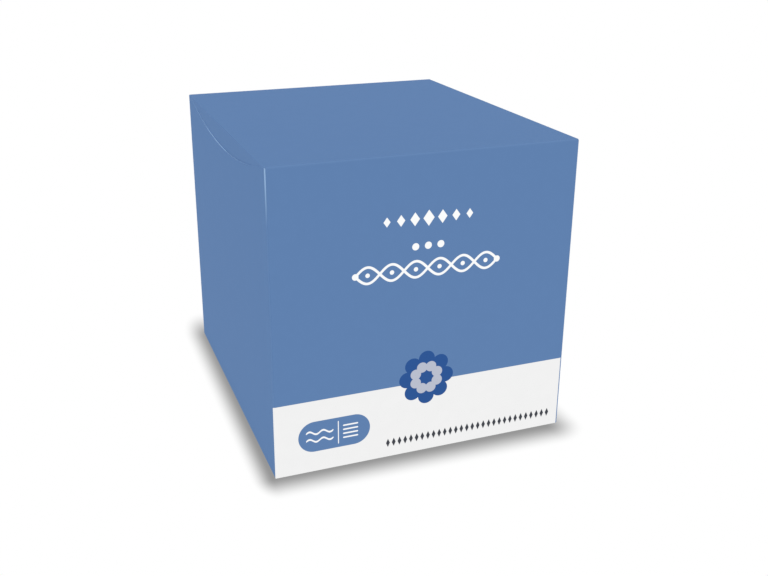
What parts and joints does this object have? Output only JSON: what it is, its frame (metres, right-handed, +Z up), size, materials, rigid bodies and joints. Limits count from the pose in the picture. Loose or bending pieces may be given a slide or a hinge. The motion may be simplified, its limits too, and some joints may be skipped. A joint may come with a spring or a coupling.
{
  "type": "tissue box",
  "caption": "Sealed box-shaped tissue carton of folded printed board, with glued flaps that close its left and right ends.",
  "frame": {"origin": "middle of the base, on the surface that the carton stands on", "axes": "+Z up through the top panel; -Y out of the printed front panel; +X to the right of someone facing the front, out of one glued end; +Y, the longest side, to the back"},
  "size_m": [0.1112, 0.127, 0.111],
  "materials": {
    "printed_board": "satin"
  },
  "bodies": {
    "root": {"sealed_carton": "printed_board"}
  },
  "joints": []
}
